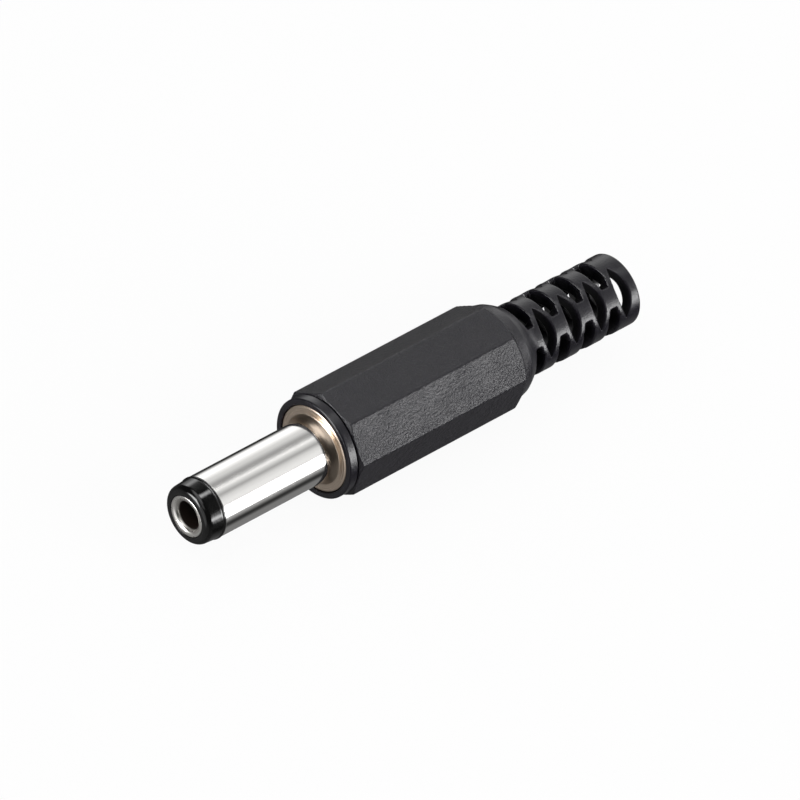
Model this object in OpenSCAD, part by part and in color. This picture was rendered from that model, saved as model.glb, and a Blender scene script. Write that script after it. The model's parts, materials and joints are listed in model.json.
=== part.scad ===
// Screw-on DC barrel plug for soldering, 5.5 mm outside and 2.5 mm inside, with a
// 14 mm barrel. The plug lies along X with its nose towards -X and the cable end
// towards +X. The origin is on the axis, in the plane of the flange's front face.
// Sizes are in millimetres.

/* [Barrel] */
// Outside diameter of the metal barrel
barrel_d = 5.5; // [5.3:0.1:5.8]
// Length from the nose's front face to the flange's front face
barrel_length = 14; // [9.5:0.5:14.5]
// Wall of the barrel
barrel_wall = 0.35; // [0.3:0.05:0.4]
// Bore of the centre contact, which takes the socket's pin
contact_bore_d = 2.5; // [2.1:0.1:2.6]
// How much thicker the centre contact's wall is than the insulating tube's
contact_extra = 0.11; // [0:0.01:0.2]
// Depth of the rounded mouth of the centre contact
mouth_depth = 0.2; // [0.1:0.05:0.3]

/* [Nose] */
// Length of black nose in front of the metal barrel
nose_length = 1.9; // [1.4:0.1:2.4]
// Width of the nose's flat front ring, beside the centre contact
nose_land = 0.18; // [0.1:0.02:0.24]
// Step from the barrel's surface down to the nose
nose_step = 0.08; // [0.04:0.02:0.14]
// Draft of the nose's side: its radius grows by this much towards the barrel
nose_draft = 0.12; // [0.04:0.02:0.16]
// Height of the moulded lip over the barrel's surface
lip_height = 0.02; // [0.01:0.01:0.05]
// Width of the moulded lip, a round bead against the barrel's front edge
lip_width = 0.25; // [0.15:0.05:0.4]

/* [Flange and thread] */
// Diameter of the flange
flange_d = 7.7; // [7.4:0.1:7.8]
// Thickness of the flange
flange_thickness = 0.8; // [0.6:0.1:1.2]
// Length of the fillet from the barrel to the flange
fillet_length = 0.93; // [0.6:0.01:1.1]
// Radius of the fillet from the barrel to the flange
fillet_radius = 1.35; // [1.2:0.05:1.6]
// Rounding of the flange's front edge
flange_edge = 0.15; // [0.05:0.05:0.3]
// Major diameter of the thread that carries the cover
thread_d = 7; // [6.6:0.1:7]
// Length of the threaded shank behind the flange
thread_length = 6; // [4:0.5:8]
// Chamfer at the end of the threaded shank
thread_chamfer = 0.4; // [0.2:0.1:0.6]

/* [Handle] */
// Width of the handle across its flats
handle_flats = 8.96; // [8.8:0.04:9.6]
// Length of the eight-sided part of the handle
handle_length = 18.6; // [16:0.1:24]
// Diameter of the round collar in front of the flats
collar_d = 8.9; // [8.6:0.02:8.92]
// Length of the round collar
collar_length = 1.03; // [0.6:0.01:1.6]
// Length of the chamfer on the front corners of the flats
corner_chamfer = 0.5; // [0.2:0.05:0.8]
// Distance that the collar's rim stands in front of the flange
rim_proud = 0.05; // [0:0.02:0.3]
// Bore of the space for the wires inside the handle
chamber_d = 6.6; // [6.5:0.05:6.8]
// Length that the cover's thread runs on behind the shank
thread_runout = 0.5; // [0.3:0.1:1]
// Half angle of the funnel from the handle's bore to the relief's bore
funnel_angle = 33; // [25:1:45]
// Depth at which the funnel ends, behind the crease
funnel_depth = 0.6; // [0.4:0.1:0.8]

/* [Shoulder] */
// Diameter of the round shoulder where the flats end
shoulder_d = 8.8; // [8.6:0.05:8.9]
// Diameter of the shoulder at its crease
crease_d = 8.3; // [8:0.05:8.6]
// Length of the shoulder in front of the crease
shoulder_length = 1; // [0.6:0.1:1.6]
// Length of the dome behind the crease
dome_length = 1.4; // [1.2:0.1:2.4]
// Radius of the dome's profile
dome_radius = 3; // [2:0.25:8]

/* [Strain relief] */
// Outside diameter of the relief where it leaves the dome
relief_d = 6.46; // [6.2:0.02:6.8]
// Outside diameter of the relief at its end
relief_end_d = 6.42; // [6.1:0.02:6.8]
// Bore of the relief
relief_bore_d = 4; // [3.9:0.1:4.4]
// Bore of the end ring, where the cable goes in
entry_d = 3.6; // [3.2:0.1:3.7]
// Number of rows of slots
rows = 8; // [2:1:12]
// Distance from one row of slots to the next
row_pitch = 1.415; // [1.35:0.005:1.6]
// Distance from the crease to the first row of slots
first_row = 1.73; // [1.7:0.01:2.4]
// Distance from the last row of slots to the end of the relief
end_ring = 1.55; // [1.3:0.05:2.4]
// Distance from the last row's slots to the step down to the end ring's bore
entry_land = 0.05; // [0.02:0.01:0.1]
// Number of slots in each row
slots_per_row = 3; // [3:1:4]
// Angle of the slots round the axis, from the top flat
slot_turn = 36; // [0:1:60]
// Width of a lens-shaped slot at its middle
lens_w = 1.36; // [0.8:0.02:1.5]
// Length of a lens-shaped slot from tip to tip
lens_l = 4.5; // [3:0.1:4.6]
// Width of a side slot at its widest
side_slot_w = 1.36; // [0.8:0.02:1.5]
// Width of the web between two side slots
web_w = 1.76; // [1.2:0.04:2.2]

/* [Terminals] */
// Thickness of the sleeve terminal
sleeve_tab_t = 0.4; // [0.3:0.05:0.45]
// Width of the sleeve terminal's strip
sleeve_tab_w = 2.4; // [1.8:0.1:2.4]
// Length of the sleeve terminal behind the shank
sleeve_tab_l = 8; // [7:0.5:8]
// Length of the cable clamp's wings
wing_length = 2.6; // [2:0.2:3]
// Angle that the cable clamp's wings reach up on each side
wing_angle = 125; // [90:5:140]
// Diameter of the hole in the sleeve terminal
sleeve_hole_d = 1.2; // [0.8:0.1:1.4]
// Thickness of the centre terminal
centre_tab_t = 0.35; // [0.3:0.05:0.4]
// Width of the centre terminal's lug
centre_tab_w = 1.8; // [1.4:0.1:2]
// Length of the centre terminal's lug
centre_tab_l = 4; // [3:0.5:5]
// Diameter of the hole in the centre terminal
centre_hole_d = 0.9; // [0.6:0.1:1]
// Thickness of the insulating washer
washer_t = 0.7; // [0.5:0.1:1]
// Step in radius from the washer down to the centre terminal's ring
ring_step = 0.13; // [0.1:0.01:0.2]
// Thickness of the rivet head on the centre contact
rivet_t = 0.25; // [0.2:0.05:0.4]

/* [Clearances] */
// Radial clearance between pieces that are pressed or clamped together
fit_gap = 0.03; // [0.02:0.01:0.04]
// Radial clearance between the cover and what it slides or screws over
cover_gap = 0.05; // [0.04:0.01:0.08]
// Radial clearance between the cable clamp and the handle's bore
clamp_gap = 0.15; // [0.1:0.05:0.2]
// Gap between the washer and the sleeve terminal's strip, which passes under it
strip_gap = 0.22; // [0.15:0.01:0.3]

/* [Hidden] */
$fn = 96;

cut = 1; // how far a cutting solid runs past the face that it cuts
lap = 0.2; // how far two solids of one piece run into each other

// Places along X, from the flange's front face
nose_x = -barrel_length;
metal_x = nose_x + nose_length;
shank_x = flange_thickness;
shank_end_x = shank_x + thread_length;
washer_x = shank_end_x + sleeve_tab_t;
centre_tab_x = washer_x + washer_t;
rivet_x = centre_tab_x + centre_tab_t;
contact_end_x = rivet_x + rivet_t;
sleeve_tab_end_x = shank_end_x + sleeve_tab_l;
wing_x = sleeve_tab_end_x - wing_length;

cover_x = -rim_proud;
flats_x = cover_x + collar_length;
flats_end_x = flats_x + handle_length;
crease_x = flats_end_x + shoulder_length;
dome_end_x = crease_x + dome_length;
row_x = crease_x + first_row;
relief_end_x = row_x + (rows - 1) * row_pitch + end_ring;
entry_x = relief_end_x - end_ring + max(lens_w, side_slot_w) / 2 + entry_land;

// Radii
barrel_r = barrel_d / 2;
barrel_bore_r = barrel_r - barrel_wall;
contact_bore_r = contact_bore_d / 2;
contact_r = (contact_bore_r + barrel_bore_r + contact_extra) / 2 - fit_gap;
nose_back_r = barrel_r - nose_step;
nose_r = nose_back_r - nose_draft;
nose_face_r = contact_r + fit_gap + nose_land;
nose_round = nose_r - nose_face_r;
lip_r = barrel_r + lip_height;
flange_r = flange_d / 2;
thread_r = thread_d / 2;
corner_r = handle_flats / 2 / cos(22.5);
collar_r = collar_d / 2;
seat_r = flange_r + cover_gap;
thread_bore_r = thread_r + cover_gap;
chamber_r = chamber_d / 2;
clamp_r = chamber_r - clamp_gap;
washer_r = clamp_r - sleeve_tab_t - strip_gap;
centre_ring_r = washer_r - ring_step;
rivet_r = centre_ring_r - centre_tab_t - fit_gap;

relief_r = relief_d / 2;
crease_r = crease_d / 2;

// Depths inside the cover
thread_bore_end_x = shank_end_x + thread_runout;
thread_cone_end_x = thread_bore_end_x + thread_bore_r - chamber_r;
funnel_end_x = crease_x + funnel_depth;
funnel_x = funnel_end_x - (chamber_r - relief_bore_d / 2) / tan(funnel_angle);

plastic_black = [0.055, 0.053, 0.06];
gloss_black = [0.02, 0.02, 0.022];
nickel = [0.8, 0.78, 0.74];
tin = [0.72, 0.71, 0.68];
washer_brown = [0.42, 0.27, 0.14];

// Turns what is drawn round Z so that it lies round X
module along_x() {
    rotate([0, 90, 0])
        children();
}

// A solid turned round X from a profile of [radius, x] points
module turned(profile) {
    along_x()
        rotate_extrude()
            polygon(profile);
}

// A rod of radius r from x = from to x = to
module rod(r, from, to) {
    translate([from, 0, 0])
        along_x()
            cylinder(r = r, h = to - from);
}

// The outline between two arcs that meet in points: half_w across and half_l long
module lens(half_w, half_l) {
    arc_r = (half_l * half_l + half_w * half_w) / (2 * half_w);
    intersection() {
        translate([arc_r - half_w, 0])
            circle(r = arc_r);
        translate([half_w - arc_r, 0])
            circle(r = arc_r);
    }
}

// The eight-sided part, with its corners chamfered at the front by a cone
module handle_flats_solid() {
    intersection() {
        translate([flats_x, 0, 0])
            along_x()
                rotate([0, 0, 22.5])
                    cylinder(r = corner_r, h = handle_length, $fn = 8);
        turned([
            [0, flats_x - cut],
            [collar_r, flats_x - cut],
            [collar_r, flats_x],
            [corner_r + lap, flats_x + corner_chamfer],
            [corner_r + lap, flats_end_x + cut],
            [0, flats_end_x + cut]
        ]);
    }
}

// The profile of the domed shoulder: a slight cone, a crease and an arc
module shoulder_profile() {
    polygon([
        [0, flats_end_x - lap],
        [shoulder_d / 2, flats_end_x - lap],
        [shoulder_d / 2, flats_end_x],
        [crease_r, crease_x],
        [0, crease_x]
    ]);
    chord = [relief_r - crease_r, dome_length];
    rise = sqrt(dome_radius * dome_radius - chord * chord / 4);
    middle = [(crease_r + relief_r) / 2, (crease_x + dome_end_x) / 2];
    intersection() {
        translate(middle - rise * [chord[1], -chord[0]] / norm(chord))
            circle(r = dome_radius);
        translate([0, crease_x - lap])
            square([crease_r, dome_length + lap]);
    }
}

// What one mould core leaves open in the relief: a lens in every second row, and in
// the rows between them a slot on each side of a web. The core pulls out along +Z.
module core_slots() {
    side_reach = relief_r * sin(180 / slots_per_row);
    linear_extrude(height = relief_r + cut)
        for (row = [0:rows - 1]) {
            x = row_x + row * row_pitch;
            if (row % 2 == 1)
                translate([x, 0])
                    lens(lens_w / 2, lens_l / 2);
            else
                difference() {
                    for (side = [-1, 1])
                        translate([x, side * side_reach])
                            lens(side_slot_w / 2, side_reach);
                    translate([x - row_pitch / 2, -web_w / 2])
                        square([row_pitch, web_w]);
                }
        }
}

module relief_slots() {
    for (i = [0:slots_per_row - 1])
        rotate([slot_turn + i * 360 / slots_per_row, 0, 0])
            core_slots();
}

// The space inside the cover, from the flange's seat to the cable entry
module cover_bore() {
    turned([
        [0, cover_x - cut],
        [seat_r, cover_x - cut],
        [seat_r, shank_x],
        [thread_bore_r, shank_x],
        [thread_bore_r, thread_bore_end_x],
        [chamber_r, thread_cone_end_x],
        [chamber_r, funnel_x],
        [relief_bore_d / 2, funnel_end_x],
        [relief_bore_d / 2, entry_x],
        [entry_d / 2, entry_x],
        [entry_d / 2, relief_end_x + cut],
        [0, relief_end_x + cut]
    ]);
}

// One moulding: collar, eight-sided handle, domed shoulder and slotted strain relief
module cover() {
    color(plastic_black)
        difference() {
            union() {
                rod(collar_r, cover_x, flats_x + lap);
                handle_flats_solid();
                along_x()
                    rotate_extrude()
                        shoulder_profile();
                turned([
                    [0, dome_end_x - lap],
                    [relief_r, dome_end_x - lap],
                    [relief_end_d / 2, relief_end_x],
                    [0, relief_end_x]
                ]);
            }
            cover_bore();
            relief_slots();
        }
}

// One turned piece: barrel, fillet, flange and threaded shank
module barrel_shell() {
    color(nickel)
        difference() {
            union() {
                rod(barrel_r, metal_x, shank_end_x);
                along_x()
                    rotate_extrude()
                        flange_profile();
                turned([
                    [0, shank_x - lap],
                    [thread_r, shank_x - lap],
                    [thread_r, shank_end_x - thread_chamfer],
                    [thread_r - thread_chamfer, shank_end_x],
                    [0, shank_end_x]
                ]);
            }
            rod(barrel_bore_r, metal_x - cut, shank_end_x + cut);
        }
}

// The flange with its rounded front edge, and the hollow fillet in front of it
module flange_profile() {
    square([flange_r - flange_edge, flange_thickness]);
    translate([0, flange_edge])
        square([flange_r, flange_thickness - flange_edge]);
    translate([flange_r - flange_edge, flange_edge])
        circle(r = flange_edge);
    foot_r = barrel_r + fillet_radius - sqrt(fillet_radius * fillet_radius - fillet_length * fillet_length);
    difference() {
        translate([0, -fillet_length])
            square([foot_r, fillet_length + lap]);
        translate([barrel_r + fillet_radius, -fillet_length])
            circle(r = fillet_radius);
    }
}

// The nose's profile: a flat face, a round corner, a side with draft and a bead
module nose_profile() {
    translate([0, nose_x])
        square([nose_face_r, nose_length]);
    translate([nose_face_r, nose_x + nose_round])
        circle(r = nose_round);
    polygon([
        [0, nose_x + nose_round],
        [nose_r, nose_x + nose_round],
        [nose_back_r, metal_x],
        [0, metal_x]
    ]);
    translate([lip_r - lip_width / 2, metal_x - lip_width / 2])
        circle(d = lip_width);
}

// One moulding: the nose in front of the barrel and the tube inside it
module nose_insulator() {
    color(gloss_black)
        difference() {
            union() {
                along_x()
                    rotate_extrude()
                        nose_profile();
                rod(barrel_bore_r - fit_gap, metal_x - lap, washer_x);
            }
            rod(contact_r + fit_gap, nose_x - cut, washer_x + cut);
        }
}

// The tube that takes the socket's pin, riveted over at its back end
module centre_contact() {
    color(tin)
        difference() {
            union() {
                rod(contact_r, nose_x, contact_end_x);
                rod(rivet_r, rivet_x, contact_end_x);
            }
            rod(contact_bore_r, nose_x - cut, contact_end_x + cut);
            turned([
                [0, nose_x - cut],
                [contact_bore_r + mouth_depth, nose_x - cut],
                [contact_bore_r + mouth_depth, nose_x],
                [contact_bore_r, nose_x + mouth_depth],
                [0, nose_x + mouth_depth]
            ]);
        }
}

// One stamping: a ring behind the shank, a strip with a hole, and the cable clamp
module sleeve_terminal() {
    color(tin)
        difference() {
            union() {
                rod(thread_r - thread_chamfer, shank_end_x, washer_x);
                intersection() {
                    translate([shank_end_x, -sleeve_tab_w / 2, -clamp_r])
                        cube([sleeve_tab_l, sleeve_tab_w, sleeve_tab_t]);
                    rod(clamp_r, shank_end_x, sleeve_tab_end_x);
                }
                cable_clamp();
            }
            rod(barrel_bore_r, shank_end_x - cut, washer_x + cut);
            translate([(washer_x + wing_x) / 2, 0, -clamp_r - cut])
                cylinder(d = sleeve_hole_d, h = 2 * cut + sleeve_tab_t);
        }
}

// Two wings that stand up round the cable, open at the top
module cable_clamp() {
    translate([wing_x, 0, 0])
        along_x()
            rotate([0, 0, -wing_angle])
                rotate_extrude(angle = 2 * wing_angle)
                    translate([clamp_r - sleeve_tab_t, 0])
                        square([sleeve_tab_t, wing_length]);
}

// A flat washer that keeps the two terminals apart
module rear_washer() {
    color(washer_brown)
        difference() {
            rod(washer_r, washer_x, centre_tab_x);
            rod(contact_r + fit_gap, washer_x - cut, centre_tab_x + cut);
        }
}

// One stamping: a ring under the rivet head and a lug with a round end and a hole
module centre_terminal() {
    lug_end_x = rivet_x + centre_tab_l;
    round_x = lug_end_x - centre_tab_w / 2;
    lug_z = centre_ring_r - centre_tab_t;
    color(tin)
        difference() {
            union() {
                rod(centre_ring_r, centre_tab_x, rivet_x);
                intersection() {
                    translate([centre_tab_x, -centre_tab_w / 2, lug_z])
                        cube([round_x - centre_tab_x, centre_tab_w, centre_tab_t]);
                    rod(centre_ring_r, centre_tab_x, lug_end_x);
                }
                intersection() {
                    translate([round_x, 0, lug_z])
                        cylinder(d = centre_tab_w, h = centre_tab_t);
                    rod(centre_ring_r, centre_tab_x, lug_end_x);
                }
            }
            rod(contact_r + fit_gap, centre_tab_x - cut, rivet_x + cut);
            translate([round_x, 0, lug_z - cut])
                cylinder(d = centre_hole_d, h = centre_tab_t + 2 * cut);
        }
}

cover();
barrel_shell();
nose_insulator();
centre_contact();
sleeve_terminal();
rear_washer();
centre_terminal();
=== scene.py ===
"""Looks of a screw-on DC barrel plug.

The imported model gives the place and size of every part. This script sets up the floor,
the lamps and the camera, and dresses the model: the turned barrel with its thread, the
glossy nose, the bright centre contact, the black cover with its slotted strain relief,
and the finishes of the terminals and the washer between them.
Lengths inside the functions are in millimetres, and the meshes are in metres.
"""

import json
import math
import bpy
import numpy as np
from mathutils import Matrix, Vector


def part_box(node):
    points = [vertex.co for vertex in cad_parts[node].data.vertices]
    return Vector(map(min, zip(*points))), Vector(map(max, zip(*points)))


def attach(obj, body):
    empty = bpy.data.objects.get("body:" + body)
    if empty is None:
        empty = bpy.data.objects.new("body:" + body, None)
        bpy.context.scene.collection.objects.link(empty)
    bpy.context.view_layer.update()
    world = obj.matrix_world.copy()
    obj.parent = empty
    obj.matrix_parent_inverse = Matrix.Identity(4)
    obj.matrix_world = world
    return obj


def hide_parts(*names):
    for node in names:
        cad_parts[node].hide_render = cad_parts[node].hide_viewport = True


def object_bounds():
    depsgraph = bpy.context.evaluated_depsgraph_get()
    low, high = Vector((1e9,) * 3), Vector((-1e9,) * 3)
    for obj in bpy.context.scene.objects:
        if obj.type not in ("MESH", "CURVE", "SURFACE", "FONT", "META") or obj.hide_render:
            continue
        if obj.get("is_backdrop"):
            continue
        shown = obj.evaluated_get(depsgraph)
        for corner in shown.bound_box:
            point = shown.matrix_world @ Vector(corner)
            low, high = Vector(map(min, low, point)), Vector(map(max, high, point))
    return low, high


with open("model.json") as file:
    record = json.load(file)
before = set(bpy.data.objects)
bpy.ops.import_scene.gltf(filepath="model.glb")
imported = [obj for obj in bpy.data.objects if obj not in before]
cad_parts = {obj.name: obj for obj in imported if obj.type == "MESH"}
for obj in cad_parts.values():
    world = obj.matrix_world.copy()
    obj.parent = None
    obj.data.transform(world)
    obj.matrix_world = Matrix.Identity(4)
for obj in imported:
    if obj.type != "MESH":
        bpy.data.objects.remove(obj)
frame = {"nodes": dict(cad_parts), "record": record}

bl_info = {
    "name": "DC barrel plug",
    "version": (1, 0, 0),
    "blender": (4, 5, 0),
    "location": "View3D > Sidebar > Plug",
    "description": "Builds the surfaces and finishes of a screw-on DC barrel plug",
    "category": "Object",
}

MM = 0.001
SIDES = 8       # flats round the handle
ROWS = 8        # rows of slots along the strain relief
CORES = 3       # mould cores round the strain relief, each of which cuts its share of a row
FAR = 9.0       # a distance in millimetres that is farther than any piece reaches
CAD_LO, CAD_HI = (np.array(corner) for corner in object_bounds())      # in metres


def span(node):
    """Lowest and highest corner of a CAD node, in millimetres."""
    low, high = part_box(node)
    return np.array(low) / MM, np.array(high) / MM


def mount(name):
    """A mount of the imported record."""
    return next(m for m in frame["record"]["mounts"] if m["name"] == name)


SHELL_LO, SHELL_HI = span("barrel_shell")
NOSE_LO, NOSE_HI = span("nose_insulator")
CONTACT_LO, CONTACT_HI = span("centre_contact")
COVER_LO, COVER_HI = span("cover")
RING_LO = span("sleeve_terminal")[0]

BARREL_R = mount("barrel")["dims"]["r_mm"]
CONTACT_BORE_R = mount("contact_bore")["dims"]["r_mm"]
ENTRY_R = mount("cable_entry")["dims"]["r_mm"]
ENTRY_LENGTH = mount("cable_entry")["dims"]["length_mm"]
HALF_FLATS = COVER_HI[2]
FLANGE_R = SHELL_HI[2]


def length(name, text, value_mm):
    """A length property, shown in the scene's units."""
    return bpy.props.FloatProperty(
        name=name, description=text, default=value_mm * MM, min=0.0,
        precision=6, subtype="DISTANCE", unit="LENGTH",
    )


def angle(name, text, degrees):
    """An angle property, given in degrees."""
    return bpy.props.FloatProperty(
        name=name, description=text, default=math.radians(degrees), precision=4,
        subtype="ANGLE", unit="ROTATION",
    )


def colour(name, text, value):
    """A colour property."""
    return bpy.props.FloatVectorProperty(
        name=name, description=text, default=value, size=3, min=0.0, max=1.0, subtype="COLOR",
    )


class PLUG_shell_sizes(bpy.types.PropertyGroup):
    """Sizes and colours of the turned barrel, its flange and its thread"""

    bore_r: length("Bore radius", "Radius of the bore of the barrel", 2.4)
    fillet_length: length("Fillet length", "Length of the fillet in front of the flange", 0.93)
    fillet_radius: length("Fillet radius", "Radius of the fillet's hollow", 1.35)
    flange_thickness: length("Flange thickness", "Thickness of the flange", 0.8)
    flange_edge: length("Flange edge", "Rounding of the flange's front edge", 0.15)
    thread_r: length("Thread radius", "Major radius of the thread on the shank", 3.5)
    thread_depth: length("Thread depth", "Depth of the thread's grooves", 0.32)
    thread_pitch: length("Thread pitch", "Distance from one turn of the thread to the next", 0.75)
    thread_chamfer: length("Thread chamfer", "Chamfer at the end of the shank", 0.4)
    metal: colour("Metal", "Colour of the bright plate", (0.83, 0.82, 0.80))
    brass: colour("Brass", "Colour where brass shows through the plate", (0.70, 0.58, 0.47))


class PLUG_nose_sizes(bpy.types.PropertyGroup):
    """Sizes and colours of the nose and the centre contact"""

    nose_length: length("Nose length", "Length of nose in front of the barrel", 1.9)
    face_r: length("Face radius", "Radius of the nose's flat front ring", 2.06)
    side_r: length("Side radius", "Radius of the nose's side at its front", 2.6)
    back_r: length("Back radius", "Radius of the nose's side at the bead", 2.72)
    bead_r: length("Bead radius", "Radius of the bead against the barrel", 2.79)
    bead_width: length("Bead width", "Width of the bead against the barrel", 0.25)
    contact_r: length("Contact radius", "Outside radius of the centre contact", 1.85)
    mouth_round: length("Mouth rounding", "Rounding of the contact's mouth", 0.44)
    plastic: colour("Plastic", "Colour of the nose", (0.003, 0.003, 0.003))
    metal: colour("Contact metal", "Colour of the centre contact", (0.86, 0.84, 0.80))


class PLUG_cover_sizes(bpy.types.PropertyGroup):
    """Sizes and colour of the cover"""

    collar_r: length("Collar radius", "Radius of the round collar", 4.45)
    collar_length: length("Collar length", "Length of the round collar", 1.03)
    corner_chamfer: length(
        "Corner chamfer", "Length of the chamfer on the flats' front corners", 0.22
    )
    handle_length: length("Handle length", "Length of the eight-sided part", 18.6)
    shoulder_r: length("Shoulder radius", "Radius of the shoulder where the flats end", 4.4)
    crease_r: length("Crease radius", "Radius of the shoulder at its crease", 4.15)
    shoulder_length: length("Shoulder length", "Length of the shoulder before the crease", 1.0)
    dome_length: length("Dome length", "Length of the dome behind the crease", 1.4)
    dome_radius: length("Dome radius", "Radius of the dome's profile", 6.0)
    relief_r: length("Relief radius", "Radius of the strain relief at the dome", 3.23)
    relief_end_r: length("Relief end radius", "Radius of the strain relief at its end", 3.21)
    relief_bore_r: length("Relief bore", "Radius of the strain relief's bore", 2.0)
    row_pitch: length("Row pitch", "Distance from one row of slots to the next", 1.415)
    end_ring: length("End ring", "Distance from the last row of slots to the end", 1.55)
    lens_width: length("Lens width", "Width of a lens-shaped slot", 1.36)
    lens_length: length("Lens length", "Length of a lens-shaped slot", 4.5)
    side_width: length("Side slot width", "Width of a side slot at its widest", 1.36)
    web_width: length("Web width", "Width of the web between two side slots", 1.76)
    edge: length("Edge rounding", "Rounding of the mould's sharp edges", 0.11)
    slot_turn: angle("Slot turn", "Angle of the slots round the axis, from the top flat", 36)
    plastic: colour("Plastic", "Colour of the cover", (0.0068, 0.006, 0.0098))


class PLUG_stage_sizes(bpy.types.PropertyGroup):
    """Camera and lamps"""

    distance: bpy.props.FloatProperty(
        name="Distance", description="Distance from the camera to the plug",
        default=1.2, subtype="DISTANCE", unit="LENGTH",
    )
    lens: bpy.props.FloatProperty(
        name="Lens", description="Focal length of the camera", default=663.7, unit="CAMERA",
    )
    tilt: angle("Tilt", "Angle of the view from square on to the plug towards its nose", 33.94)
    turn: angle("Turn", "Angle of the view round the plug from straight above towards -Y", 26.15)
    roll: angle("Roll", "Angle of the plug in the picture, its cable end up", 28.03)
    aim_right: length("Aim right", "How far right of the origin the camera is centred", 7.04)
    aim_up: length("Aim up", "How far above the origin the camera is centred", 3.98)
    key_power: bpy.props.FloatProperty(
        name="Key lamp", description="Power of the key lamp", default=1.2, unit="POWER",
    )
    fill_power: bpy.props.FloatProperty(
        name="Fill lamp", description="Power of the fill lamp", default=0.5, unit="POWER",
    )


# ---------------------------------------------------------------- surfaces


def unit(vectors):
    """The vectors at length one."""
    return vectors / np.maximum(np.linalg.norm(vectors, axis=1, keepdims=True), 1e-12)


def area_normals(points, quads):
    """A normal for each point: the sum of its faces' normals, weighted by their areas."""
    a, b, c, d = (points[quads[:, k]] for k in range(4))
    face = np.cross(c - a, d - b)
    normals = np.zeros_like(points)
    for k in range(4):
        np.add.at(normals, quads[:, k], face)
    return unit(normals)


def mesh_piece(name, points, quads, normals=None):
    """An object from points in millimetres and quads of point numbers, smooth all over."""
    if normals is None:
        normals = area_normals(points, quads)
    mesh = bpy.data.meshes.new(name)
    mesh.vertices.add(len(points))
    mesh.vertices.foreach_set("co", (points * MM).astype(np.float32).ravel())
    mesh.loops.add(quads.size)
    mesh.loops.foreach_set("vertex_index", quads.astype(np.int32).ravel())
    mesh.polygons.add(len(quads))
    mesh.polygons.foreach_set("loop_start", np.arange(0, quads.size, 4, dtype=np.int32))
    mesh.polygons.foreach_set("use_smooth", np.ones(len(quads), bool))
    mesh.update(calc_edges=True)
    mesh.validate()
    mesh.normals_split_custom_set_from_vertices(normals.astype(np.float32).tolist())
    piece = bpy.data.objects.new(name, mesh)
    bpy.context.scene.collection.objects.link(piece)
    return piece


def profile(*parts):
    """A closed outline from its parts in order: corners and ready runs of points.

    A corner is (x, radius) or (x, radius, rounding). With a rounding it becomes an arc
    that touches the lines to the parts before and after it: its centre lies on the
    bisector, rounding / sin(half the corner's angle) from the corner, and it begins and
    ends rounding / tan(half the corner's angle) from the corner.
    """
    point_spacing = 0.05
    runs = [np.atleast_2d(part)[:, :2] for part in parts]
    outline = []
    for k, part in enumerate(parts):
        spot, before, after = runs[k][0], runs[k - 1][-1], runs[(k + 1) % len(runs)][0]
        if np.ndim(part) > 1 or len(part) < 3:
            outline.append(runs[k])
            continue
        a = (before - spot) / np.linalg.norm(before - spot)
        b = (after - spot) / np.linalg.norm(after - spot)
        half = math.acos(np.clip(a @ b, -1, 1)) / 2
        rounding = part[2]
        centre = spot + (a + b) / np.linalg.norm(a + b) * rounding / math.sin(half)
        first = spot + a * rounding / math.tan(half) - centre
        last = spot + b * rounding / math.tan(half) - centre
        sweep = math.atan2(first[0] * last[1] - first[1] * last[0], first @ last)
        t = np.linspace(0, sweep, 3 + math.ceil(rounding / point_spacing))
        turn = np.stack([np.cos(t), -np.sin(t), np.sin(t), np.cos(t)], -1).reshape(-1, 2, 2)
        outline.append(centre + turn @ first)
    return np.concatenate(outline)


def divided(outline, step):
    """The closed outline with points added, so that no side is longer than step."""
    after = np.roll(outline, -1, 0)
    counts = np.maximum(1, np.ceil(np.linalg.norm(after - outline, axis=1) / step)).astype(int)
    start = np.repeat(outline, counts, 0)
    end = np.repeat(after, counts, 0)
    place = np.concatenate([np.arange(n) / n for n in counts])[:, None]
    return start + (end - start) * place


def lathe(name, outline, segments=192, wave=None):
    """A ring turned round the X axis from a closed outline of (x, radius) points.

    The point at (u, v) is (x(u), r cos v, r sin v), where r is the outline's radius plus
    wave(x, r, v) if a wave is given. The sign of the outline's area says which way round
    it runs, and so which way its faces are turned to point outwards.
    """
    around = np.linspace(0, 2 * np.pi, segments, endpoint=False)
    x = np.repeat(outline[:, :1], segments, 1)
    r = np.repeat(outline[:, 1:], segments, 1)
    v = np.broadcast_to(around, x.shape)
    if wave is not None:
        r = r + wave(x, r, v)
    points = np.stack([x, r * np.cos(v), r * np.sin(v)], -1).reshape(-1, 3)
    rows = len(outline)
    i = np.arange(rows)[:, None]
    j = np.arange(segments)[None]
    i1, j1 = (i + 1) % rows, (j + 1) % segments
    quads = np.stack([
        i * segments + j, i * segments + j1, i1 * segments + j1, i1 * segments + j
    ], -1).reshape(-1, 4)
    (x0, r0), (x1, r1) = outline.T, np.roll(outline, -1, 0).T
    if np.sum(x0 * r1 - x1 * r0) > 0:
        quads = quads[:, ::-1]
    return mesh_piece(name, points, quads)


def arc(centre, radius, start, end, steps=10):
    """Points of an arc round centre, from one angle to another, in degrees."""
    t = np.radians(np.linspace(start, end, steps + 1))
    return np.stack([centre[0] + radius * np.cos(t), centre[1] + radius * np.sin(t)], -1)


# Joins of signed distances: below zero is inside, and k is the width of the blend.


def both(a, b, k=0.0):
    """What is inside a and b: the larger distance, its edge rounded by a parabola."""
    if k <= 0:
        return np.maximum(a, b)
    h = np.maximum(k - np.abs(a - b), 0) / k
    return np.maximum(a, b) + h * h * k / 4


def either(a, b, k=0.0):
    """What is inside a or b: the smaller distance, its corner filled by a parabola."""
    return -both(-a, -b, k)


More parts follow.
